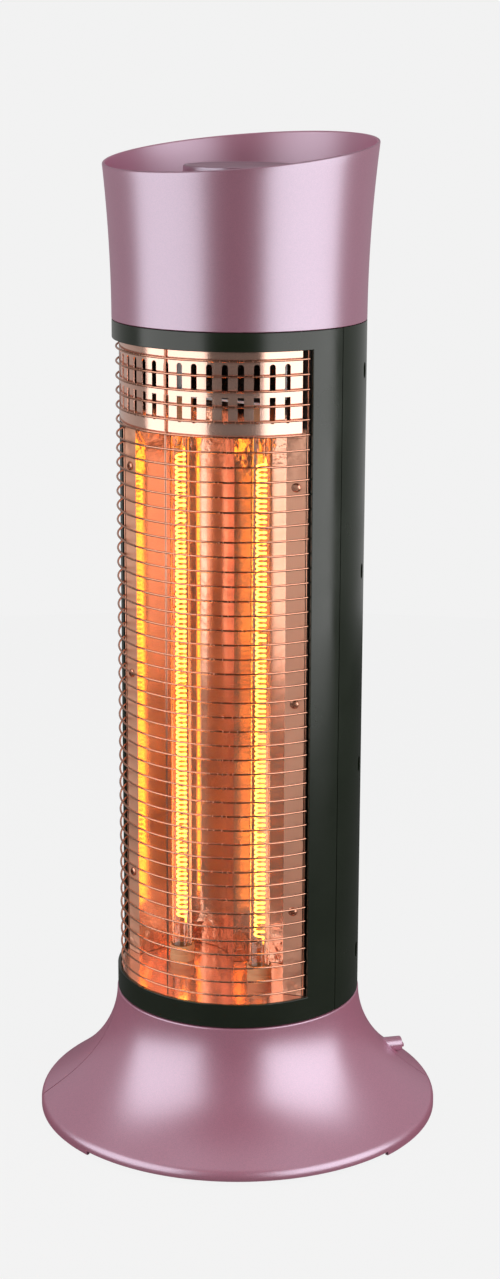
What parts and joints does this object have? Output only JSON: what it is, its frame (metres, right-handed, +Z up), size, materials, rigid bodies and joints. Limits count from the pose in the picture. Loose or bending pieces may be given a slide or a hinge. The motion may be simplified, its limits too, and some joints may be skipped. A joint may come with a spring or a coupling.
{
  "type": "carbon heater",
  "caption": "Free-standing carbon heater: black tube with a grilled window, reflector and glowing lamps, flared pink base and slanted cup top with a dial.",
  "frame": {"origin": "the middle of the base at floor level", "axes": "+Z is up the tower, -Y is the side the window faces, +X is to the right of somebody who looks at the window"},
  "size_m": [0.279, 0.279, 0.6756],
  "materials": {
    "pink_metallic": "pearly pink metallic lacquer",
    "gloss_black": "glossy black with a green-grey cast",
    "dark_plastic": "moulded dark grey",
    "foot_rubber": "soft black",
    "ballast_iron": "rough cast",
    "white_nylon": "natural nylon",
    "grey_steel": "zinc plated",
    "copper_wire": "bright copper-tinted plating",
    "copper_mirror": "polished copper colour",
    "lamp_glass": "clear quartz",
    "carbon_filament": "glowing yellow",
    "ceramic": "unglazed"
  },
  "bodies": {
    "base": {"base_shell": "pink_metallic", "base_rear_cover": "pink_metallic", "base_plate": "dark_plastic", "foot_pad_1": "foot_rubber", "foot_pad_2": "foot_rubber", "foot_pad_3": "foot_rubber", "foot_pad_4": "foot_rubber", "base_chassis": "dark_plastic", "chassis_deck": "dark_plastic", "motor_shelf": "dark_plastic", "ballast_ring": "ballast_iron", "swivel_bearing": "white_nylon", "swing_motor": "grey_steel", "swing_switch": "dark_plastic", "tip_switch": "dark_plastic", "cord_gland": "foot_rubber"},
    "tower": {"turntable": "grey_steel", "spindle": "grey_steel", "spindle_rocker": "grey_steel", "lower_end_plate": "dark_plastic", "upper_end_plate": "dark_plastic", "front_frame": "gloss_black", "rear_housing": "gloss_black", "grille": "copper_wire", "reflector": "copper_mirror", "top_shroud": "copper_mirror", "chamber_deck": "copper_mirror", "lower_lamp_bracket": "grey_steel", "upper_lamp_bracket": "grey_steel", "quartz_tube_left": "lamp_glass", "quartz_tube_right": "lamp_glass", "filament_left": "carbon_filament", "filament_right": "carbon_filament", "lower_ceramic_cap_left": "ceramic", "lower_ceramic_cap_right": "ceramic", "upper_ceramic_cap_left": "ceramic", "upper_ceramic_cap_right": "ceramic", "side_rail_left": "grey_steel", "side_rail_right": "grey_steel", "housing_screw_1": "grey_steel", "housing_screw_2": "grey_steel", "housing_screw_3": "grey_steel", "housing_screw_4": "grey_steel", "housing_screw_5": "grey_steel", "housing_screw_6": "grey_steel", "housing_screw_7": "grey_steel", "housing_screw_8": "grey_steel", "thermal_cutout": "grey_steel", "terminal_block": "white_nylon", "cap_shell": "pink_metallic", "control_deck": "gloss_black", "deck_column": "dark_plastic", "rotary_switch": "dark_plastic"},
    "dial_unit": {"dial": "pink_metallic", "dial_shaft": "grey_steel"},
    "crank": {"swing_crank": "white_nylon"},
    "link": {"swing_link": "grey_steel"},
    "knob": {"swing_knob": "pink_metallic"},
    "plunger": {"tip_plunger": "white_nylon"}
  },
  "joints": [
    {"name": "tower_swing", "type": "hinge", "parent": "base", "child": "tower", "pos_m": [0, 0, 0.0886], "axis": [0, 0, 1], "range_deg": [-4, 76]},
    {"name": "dial_turn", "type": "hinge", "parent": "tower", "child": "dial_unit", "pos_m": [0, 0, 0.645], "axis": [0, 0, 1], "range_deg": [0, 120]},
    {"name": "crank_spin", "type": "hinge", "parent": "base", "child": "crank", "pos_m": [-0.02351, 0.03236, 0.06], "axis": [0, 0, 1], "continuous": true},
    {"name": "link_pivot", "type": "hinge", "parent": "crank", "child": "link", "pos_m": [-0.01283, 0.02878, 0.0656], "axis": [0, 0, 1], "continuous": true},
    {"name": "knob_push", "type": "slide", "parent": "base", "child": "knob", "axis": [-0.6561, -0.7547, 0], "range_m": [0, 0.0025], "stiffness_N_per_m": 400},
    {"name": "tip_plunge", "type": "slide", "parent": "base", "child": "plunger", "axis": [0, 0, -1], "range_m": [0, 0.004]}
  ],
  "couplings": [
    {"joint": "link_pivot", "follows": "crank_spin", "ratio": -1}
  ]
}
